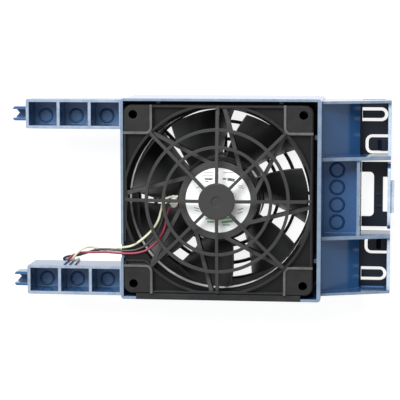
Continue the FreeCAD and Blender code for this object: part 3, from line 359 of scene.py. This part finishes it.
# painted highlight on the impeller's edges and the hub's front rim
BLADE_EDGE_HIGHLIGHT = (0.10, 0.10, 0.10)
# painted sheen on the hub's outer wall
HUB_PAINTED_SHEEN = (0.060, 0.060, 0.059)
# painted sheen on the tops of the arms' rims
ARM_RIM_PAINTED_SHEEN = (0.25, 0.30, 0.37)
BLUE_LOOK = dict(relief=0.2, edge_highlight=BLUE_EDGE_HIGHLIGHT, specular=0.4, sides=0.13)
# the black plastic's edge colour is a painted highlight
BLACK_LOOK = dict(edge_highlight=(0.045, 0.047, 0.048), edge_radius=0.3 * MM, specular=0.17)

MATERIALS = {
    # painted sheen on the upward rim tops above 30 mm
    "blue_plastic": moulded("blue_plastic", BLUE, 0.30,
                            painted_light=[(BLUE_RIM_PAINTED_SHEEN, 30 * MM, 30.3 * MM, UP)], **BLUE_LOOK),
    # the dark plate's edge colour is a painted highlight
    "dark_plate": moulded("dark_plate", NAVY, 0.36, edge_highlight=(0.030, 0.042, 0.062),
                          edge_radius=0.25 * MM, specular=0.2,
                          # painted highlight on the end wall's upward faces
                          pale_end=(END_RIM_PAINTED_HIGHLIGHT, END_WALL_X - 0.1 * MM, END_WALL_X + 0.1 * MM)),
    "black_plastic": moulded("black_plastic", BLACK, 0.38, **BLACK_LOOK),
    # the guard's edge colour is a painted highlight
    "guard_plastic": moulded("guard_plastic", (0.026, 0.026, 0.0255), 0.45,
                             edge_highlight=(0.045, 0.045, 0.044), edge_radius=0.3 * MM, specular=0.22),
    "rubber": rubber("rubber", (0.014, 0.0145, 0.015)),
    "label_paper": moulded("label_paper", (0.78, 0.80, 0.80), 0.30, mottle=0.03, relief=0.12,
                           edge_radius=0.1 * MM),
    "steel": metal("steel", (0.52, 0.52, 0.54), 0.28),
    "lamination": layered("lamination", (0.30, 0.31, 0.33), (0.05, 0.05, 0.055), 0.5 * MM,
                          metallic=0.9, roughness=0.42),
    "magnet": moulded("magnet", (0.050, 0.046, 0.043), 0.55, mottle=0.2, relief=0.7),
    "brass": metal("brass", (0.70, 0.52, 0.24), 0.30),
    "copper": layered("copper", (0.62, 0.25, 0.09), (0.16, 0.05, 0.02), 0.32 * MM,
                      metallic=0.85, roughness=0.32),
    "board": moulded("board", (0.018, 0.130, 0.052), 0.30, mottle=0.25, relief=0.2),
    "chip": moulded("chip", (0.018, 0.018, 0.020), 0.36, relief=0.5),
    "aluminium": metal("aluminium", (0.74, 0.75, 0.76), 0.25),
    "white_plastic": moulded("white_plastic", (0.76, 0.73, 0.65), 0.42, mottle=0.05,
                             edge_radius=0.2 * MM),
    "wire_red": insulation("wire_red", (0.20, 0.012, 0.034), 0.28),
    "wire_black": insulation("wire_black", (0.012, 0.012, 0.014), 0.30),
    "wire_cream": insulation("wire_cream", (0.58, 0.58, 0.42), 0.35),
}

# the arms: painted sheen on the rims' tops and painted light on the pocket floors
ARM_LOOK = moulded("arm_plastic", BLUE, 0.30,
                   painted_light=[(ARM_RIM_PAINTED_SHEEN, ARM_HIGH.z - 0.3 * MM, ARM_HIGH.z - 0.1 * MM, UP),
                         (ARM_FLOOR_PAINTED_LIGHT, -ARM_FLOOR - 0.3 * MM, -ARM_FLOOR - 0.1 * MM, DOWN)],
                   **BLUE_LOOK)
TRAY_UP = (TRAY_SLOPE, 0.0, 1.0)
TRAY_SHEEN_FROM = TRAY_RIM_AT_AXIS - 1.6 * MM   # painted sheen on the rims from here up, along the rims' slope
OWN_FINISH = {
    "upper_arm": ARM_LOOK,
    "lower_arm": ARM_LOOK,
    "latch_tray": moulded("tray_plastic", BLUE, 0.30,
                          painted_light=[(BLUE_RIM_PAINTED_SHEEN, TRAY_SHEEN_FROM, TRAY_SHEEN_FROM + 0.3 * MM, TRAY_UP)],
                          **BLUE_LOOK),
    # painted shade on the sunk panels, painted light on the frame's face and a painted highlight on
    # the pads' rims, each paler than the one below
    "fan_housing": moulded("frame_plastic", BLACK, 0.40,
                           painted_light=[(PANEL_PAINTED_SHADE, FAN_FACE - 3 * MM, FAN_FACE - 2.6 * MM, UP),
                                 (FACE_PAINTED_LIGHT, FAN_FACE - 0.3 * MM, FAN_FACE - 0.1 * MM, UP),
                                 (PAD_RIM_PAINTED_HIGHLIGHT, FAN_FACE + 0.3 * MM, FAN_FACE + 0.4 * MM, UP)],
                           # painted glint on the duct's wall
                           band=(BORE_R + 0.1 * MM, FAN_FACE - 14 * MM, FAN_FACE - 8 * MM,
                                 0.15, BORE_GLINT),
                           **BLACK_LOOK),
    # painted light on the base's upward front face
    "strut_spider": moulded("base_plastic", BLACK, 0.42,
                            painted_light=[(BASE_FACE_PAINTED_LIGHT, BASE_FACE - 0.3 * MM, BASE_FACE - 0.1 * MM, UP)],
                            **BLACK_LOOK),
    "impeller": moulded("blade_plastic", BLADE_BLACK, 0.34,
                        edge_highlight=BLADE_EDGE_HIGHLIGHT, specular=0.3,
                        # painted sheen on the hub's outer wall
                        band=(HUB_R + 0.1 * MM, HUB_FRONT - 9 * MM, HUB_FRONT, 0.2, HUB_PAINTED_SHEEN)),
}

for entry in frame["record"]["subparts"]:
    node = NODES[entry["node"]]
    node.data.materials.clear()
    node.data.materials.append(OWN_FINISH.get(entry["node"], MATERIALS[entry["material_slot"]]))


# ---------------------------------------------------------------- pieces
def piece(name, mesh, material):
    """A mesh object that rides on the carrier."""
    obj = bpy.data.objects.new(name, mesh)
    bpy.context.scene.collection.objects.link(obj)
    mesh.materials.append(material)
    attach(obj, "carrier")


def mesh_from(name, build):
    """A mesh filled in by build(bm)."""
    bm = bmesh.new()
    build(bm)
    bmesh.ops.recalc_face_normals(bm, faces=bm.faces)
    mesh = bpy.data.meshes.new(name)
    bm.to_mesh(mesh)
    bm.free()
    return mesh


def strips(bm, rows, top, thickness):
    """Thin flat bars: each row is (x0, x1, y, width, slant) in millimetres."""
    for x0, x1, y, width, slant in rows:
        ends = []
        for x, lift in ((x0, -slant / 2), (x1, slant / 2)):
            for side in (-1, 1):
                ends.append((x * MM, (y + lift + side * width / 2) * MM))
        corners = (ends[0], ends[2], ends[3], ends[1])
        lower = [bm.verts.new((*corner, top - thickness)) for corner in corners]
        upper = [bm.verts.new((*corner, top)) for corner in corners]
        bm.faces.new(upper)
        bm.faces.new(lower[::-1])
        for i in range(4):
            j = (i + 1) % 4
            bm.faces.new((lower[i], lower[j], upper[j], upper[i]))


def smooth(mesh):
    """The mesh, shaded smooth."""
    for face in mesh.polygons:
        face.use_smooth = True
    return mesh


def ink(name, colour):
    """Printed lines, a little worn."""
    s = Surface(name)
    wear = s.remap(s.noise(900.0, 4.0), 0.45, 0.75, 0.0, 0.55)
    return s.finish(colour=s.mix(wear, colour, (0.6, 0.61, 0.6)),
                    roughness=s.remap(s.noise(1500.0), 0.3, 0.7, 0.35, 0.55),
                    normal=s.bump(s.noise(3000.0), 0.15, 0.01 * MM))


# ---------------------------------------------------------------- label
# Plain rules and bars only: x0, x1, y, width, slant in millimetres.
GREY_RULES = [(-6.7, -2.1, 13.3, 0.35, 0), (2.5, 7.5, 13.4, 0.35, 0),
              (-7.4, -2.3, 12.0, 0.25, 0), (-10.6, -8.6, 6.2, 0.4, 0.8),
              (9.6, 12.2, 7.2, 0.3, -0.7), (10.0, 12.6, 6.2, 0.3, -0.7),
              (-11.6, -9.2, -4.0, 0.5, -0.6), (-11.3, -9.0, -5.2, 0.4, -0.6),
              (9.8, 12.3, -4.2, 0.45, 0.9), (9.4, 11.9, -6.0, 0.45, 0.9)]
DARK_RULES = [(-6.4, -2.6, 10.2, 0.9, 0), (2.3, 4.0, 10.4, 0.8, 0),
              (4.6, 8.2, 10.0, 1.5, -0.5), (-6.2, -4.6, 9.0, 0.4, 0)]
GREEN_RULES = [(-6.0, -1.4, -9.0, 0.9, 0), (-5.2, -1.6, -10.6, 0.7, 0),
               (1.6, 8.6, -8.6, 0.8, 0.9), (1.8, 7.4, -10.4, 1.0, 0.7),
               (2.4, 6.0, -12.0, 0.6, 0)]
PRINT_RISE = 0.02 * MM    # the print's top above the label

for print_name, rules, colour in (("grey", GREY_RULES, (0.20, 0.20, 0.20)),
                                  ("dark", DARK_RULES, (0.035, 0.035, 0.035)),
                                  ("green", GREEN_RULES, (0.10, 0.32, 0.14))):
    print_mesh = mesh_from("label_" + print_name,
                           lambda bm: strips(bm, rules, LABEL_TOP + PRINT_RISE, PRINT_RISE / 2))
    piece("label_" + print_name, print_mesh, ink("ink_" + print_name, colour))


# ------------------------------------------------------- ejector marks
# Low round witness rings on the pocket floors: x, y, radius, floor height, in millimetres.
ARM_PITCH = 15.4
ARM_MID = (ARM_LOW.y + ARM_HIGH.y) / 2 / MM
ARM_MARK_X0 = -88.3
ARM_MARK_SHIFT = -1.6     # across the arm, from its middle
ARM_MARKS = [(ARM_MARK_X0 + ARM_PITCH * i, side * ARM_MID + ARM_MARK_SHIFT, 3.2, ARM_FLOOR / MM)
             for side in (-1, 1) for i in range(3)]
TRAY_FLOOR = 13.6
TRAY_MARK_PITCH = 8.6
TRAY_MARKS = [(56.6, TRAY_MARK_PITCH * (i - 1.5), 3.4, TRAY_FLOOR) for i in range(4)]
MARK_RISE = 0.03
MARK_CREST = 0.4          # half the width of a ring's top
MARK_FOOT = 0.8           # half the width of its foot, sunk into the floor
MARK_SEGMENTS = 40


def mark_ring(bm, x, y, radius, floor_z):
    """One low ring with bevelled sides."""
    foot, crest = floor_z - MARK_RISE, floor_z + MARK_RISE
    turns = [2 * math.pi * i / MARK_SEGMENTS for i in range(MARK_SEGMENTS)]
    rings = []
    for r, z in ((radius - MARK_FOOT, foot), (radius - MARK_CREST, crest),
                 (radius + MARK_CREST, crest), (radius + MARK_FOOT, foot)):
        rings.append([bm.verts.new(((x + r * math.cos(turn)) * MM,
                                    (y + r * math.sin(turn)) * MM, z * MM)) for turn in turns])
    for a, b in zip(rings, rings[1:] + rings[:1]):
        for i in range(MARK_SEGMENTS):
            j = (i + 1) % MARK_SEGMENTS
            bm.faces.new((a[i], b[i], b[j], a[j]))


# the arm marks take the pocket floors' painted light, a little darker
ARM_MARK_LOOK = moulded("arm_mark_plastic", shade(ARM_FLOOR_PAINTED_LIGHT, 0.92), 0.32,
                        relief=0.2, specular=0.4)
TRAY_MARK_LOOK = moulded("tray_mark_plastic", shade(BLUE, 0.84), 0.32, relief=0.2, specular=0.4)
for i, mark in enumerate(ARM_MARKS + TRAY_MARKS):
    look = ARM_MARK_LOOK if i < len(ARM_MARKS) else TRAY_MARK_LOOK
    ring = smooth(mesh_from("ejector_mark", lambda bm: mark_ring(bm, *mark)))
    piece(f"ejector_mark_{i + 1}", ring, look)


# -------------------------------------------------------------- sealant
SEALANT_AT = Vector((-21.6, -1.0, 38.6))
SEALANT_HALF = Vector((1.6, 3.2, 1.0))


def sealant_shape(bm):
    """An uneven blob of sealant where the leads leave the motor base."""
    bmesh.ops.create_icosphere(bm, subdivisions=4, radius=1.0)
    for v in bm.verts:
        x, y, z = v.co
        bulge = 1 + 0.16 * math.sin(3.1 * x + 1.3) * math.cos(4.3 * y) + 0.1 * math.sin(5.7 * z)
        v.co = (SEALANT_AT + SEALANT_HALF * v.co * bulge) * MM


piece("lead_sealant", smooth(mesh_from("lead_sealant", sealant_shape)),
      insulation("sealant", (0.42, 0.43, 0.40), 0.22))


# ---------------------------------------------------------------- wires
# Each lead's length in metres, and the points of its course in millimetres.
WIRE_R = 0.6 * MM

WIRES = {
    "wire_red": (0.1055, [
        (-19.6, -3.2, 38.4), (-22.3, -3.2, 38.4), (-24.5, -5.1, 38.4), (-25.2, -8.8, 38.4),
        (-25.8, -13.2, 38.4), (-27.8, -17.9, 38.4), (-31.1, -22.3, 38.4), (-35.8, -25.7, 38.4),
        (-41.6, -26.9, 38.4), (-48.2, -26.8, 38.5), (-54.4, -26.2, 38.9), (-60.6, -26.4, 38.8),
        (-67.0, -26.6, 38.6), (-71.6, -28.0, 37.8), (-74.4, -30.6, 35.8), (-75.4, -32.3, 29.4),
        (-75.6, -32.7, 20.6), (-75.7, -33.0, 14.2), (-76.4, -38.0, 12.2), (-78.4, -40.6, 13.4),
        (-81.0, -40.95, 14.7), (-84.0, -40.95, 14.7)]),
    "wire_black": (0.0995, [
        (-19.6, -0.9, 38.4), (-23.2, -0.9, 38.4), (-25.9, -2.9, 38.4), (-26.8, -7.9, 38.4),
        (-28.1, -12.5, 38.4), (-30.2, -16.8, 38.4), (-32.95, -20.65, 38.4),
        (-36.85, -23.8, 38.4), (-41.85, -25.55, 38.4), (-48.2, -25.45, 38.5),
        (-54.4, -24.85, 38.6), (-60.2, -25.3, 37.6), (-65.0, -27.0, 36.6), (-69.8, -28.7, 35.4),
        (-74.4, -29.2, 33.4), (-77.8, -30.6, 30.4), (-78.5, -32.3, 25.6), (-78.2, -32.8, 21.4),
        (-77.6, -33.0, 16.0), (-78.4, -36.4, 13.3), (-81.4, -38.95, 14.7),
        (-84.0, -38.95, 14.7)]),
    "wire_cream": (0.1117, [
        (-19.6, 1.4, 38.4), (-23.4, 1.4, 38.4), (-26.6, -0.5, 38.4), (-27.9, -5.2, 38.4),
        (-28.9, -9.8, 38.4), (-31.3, -14.0, 38.4), (-34.6, -17.6, 38.4), (-38.4, -20.8, 38.4),
        (-42.6, -23.4, 38.4), (-48.2, -24.0, 38.2), (-52.8, -25.1, 36.4), (-57.8, -25.6, 35.9),
        (-62.2, -23.8, 37.4), (-65.8, -24.0, 39.9), (-69.0, -26.4, 40.6), (-71.3, -29.5, 38.6),
        (-72.5, -31.7, 33.0), (-72.8, -32.4, 25.0), (-72.9, -32.7, 19.0), (-72.9, -33.0, 13.8),
        (-73.6, -38.1, 12.2), (-75.6, -41.6, 12.8), (-79.2, -42.95, 14.7), (-84.0, -42.95, 14.7)]),
}


def wire(name, points):
    """A limp lead from the motor base to the plug under the lower arm."""
    curve = bpy.data.curves.new(name + "_lead", "CURVE")
    curve.dimensions = "3D"
    curve.resolution_u = 8
    curve.bevel_depth = WIRE_R
    curve.bevel_resolution = 5
    curve.use_fill_caps = True
    spline = curve.splines.new("NURBS")
    spline.points.add(len(points) - 1)
    for point, place in zip(spline.points, points):
        point.co = (*(v * MM for v in place), 1.0)
    spline.order_u = 3
    spline.use_endpoint_u = True
    curve.materials.append(MATERIALS[name])
    lead = bpy.data.objects.new(name + "_lead", curve)
    bpy.context.scene.collection.objects.link(lead)
    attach(lead, "carrier")
    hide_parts(name)


for wire_name, (wire_length, wire_points) in WIRES.items():
    wire(wire_name, wire_points)


# ---------------------------------------------------------------- light
WORLD_AMBIENT = 0.42      # light from all round. The camera sees it as plain white


def seen_straight(tree):
    """1 for camera, glossy and transmission rays, 0 for those that carry light."""
    path = tree.nodes.new("ShaderNodeLightPath")
    share = path.outputs["Is Camera Ray"]
    for ray in ("Is Glossy Ray", "Is Transmission Ray"):
        either = tree.nodes.new("ShaderNodeMath")
        either.operation = "MAXIMUM"
        tree.links.new(share, either.inputs[0])
        tree.links.new(path.outputs[ray], either.inputs[1])
        share = either.outputs[0]
    return share


world = bpy.data.worlds.new("studio")
bpy.context.scene.world = world
world.use_nodes = True
studio = world.node_tree
strength = studio.nodes.new("ShaderNodeMapRange")
strength.inputs["To Min"].default_value = WORLD_AMBIENT
strength.inputs["To Max"].default_value = 1.0
studio.links.new(seen_straight(studio), strength.inputs["Value"])
background = studio.nodes["Background"]
background.inputs["Color"].default_value = (1.0, 1.0, 1.0, 1.0)
studio.links.new(strength.outputs["Result"], background.inputs["Strength"])


def lamp(name, place, target, size, watts):
    """A rectangular soft lamp that shines towards the target."""
    data = bpy.data.lights.new(name, "AREA")
    data.shape = "RECTANGLE"
    data.size, data.size_y = size
    data.energy = watts
    obj = bpy.data.objects.new(name, data)
    bpy.context.scene.collection.objects.link(obj)
    obj.location = place
    obj.rotation_euler = (Vector(target) - Vector(place)).to_track_quat("-Z", "Y").to_euler()


LIT_POINT = (0.0, 0.0, 0.03)
lamp("key", (-0.30, 0.70, 0.95), LIT_POINT, (0.9, 0.7), 26.0)
lamp("fill", (0.1, -0.7, 0.9), LIT_POINT, (1.0, 0.8), 1.5)


# ---------------------------------------------------------------- floor
FLOOR_REACH = 3.0
FLOOR_GAP = 0.2 * MM      # below the module, so that the two faces never meet
FLOOR_SHADE = 0.25        # share of the floor's white that a shadow can take away


def floor_mesh(bm):
    bm.faces.new([bm.verts.new((x * FLOOR_REACH, y * FLOOR_REACH, 0.0))
                  for x, y in ((-1, -1), (1, -1), (1, 1), (-1, 1))])


floor = bpy.data.objects.new("floor", mesh_from("floor", floor_mesh))
bpy.context.scene.collection.objects.link(floor)
floor.location.z = CAD_LOW.z - FLOOR_GAP
paper = bpy.data.materials.new("floor")
paper.use_nodes = True
tree = paper.node_tree
plain = tree.nodes["Principled BSDF"]
plain.inputs["Base Color"].default_value = (0.86, 0.86, 0.86, 1.0)
plain.inputs["Roughness"].default_value = 0.9
# seen straight, the floor glows nearly white and its shadow takes the rest away
shadowed = tree.nodes.new("ShaderNodeBsdfDiffuse")
shadowed.inputs["Color"].default_value = (FLOOR_SHADE, FLOOR_SHADE, FLOOR_SHADE, 1.0)
glow = tree.nodes.new("ShaderNodeEmission")
glow.inputs["Strength"].default_value = 1.0 - FLOOR_SHADE / 2
white = tree.nodes.new("ShaderNodeAddShader")
tree.links.new(shadowed.outputs[0], white.inputs[0])
tree.links.new(glow.outputs[0], white.inputs[1])
choose = tree.nodes.new("ShaderNodeMixShader")
tree.links.new(seen_straight(tree), choose.inputs[0])
tree.links.new(plain.outputs[0], choose.inputs[1])
tree.links.new(white.outputs[0], choose.inputs[2])
tree.links.new(choose.outputs[0], tree.nodes["Material Output"].inputs["Surface"])
floor.data.materials.append(paper)

bpy.context.scene.view_settings.view_transform = "Standard"

# ---------------------------------------------------------------- update
bpy.context.view_layer.update()
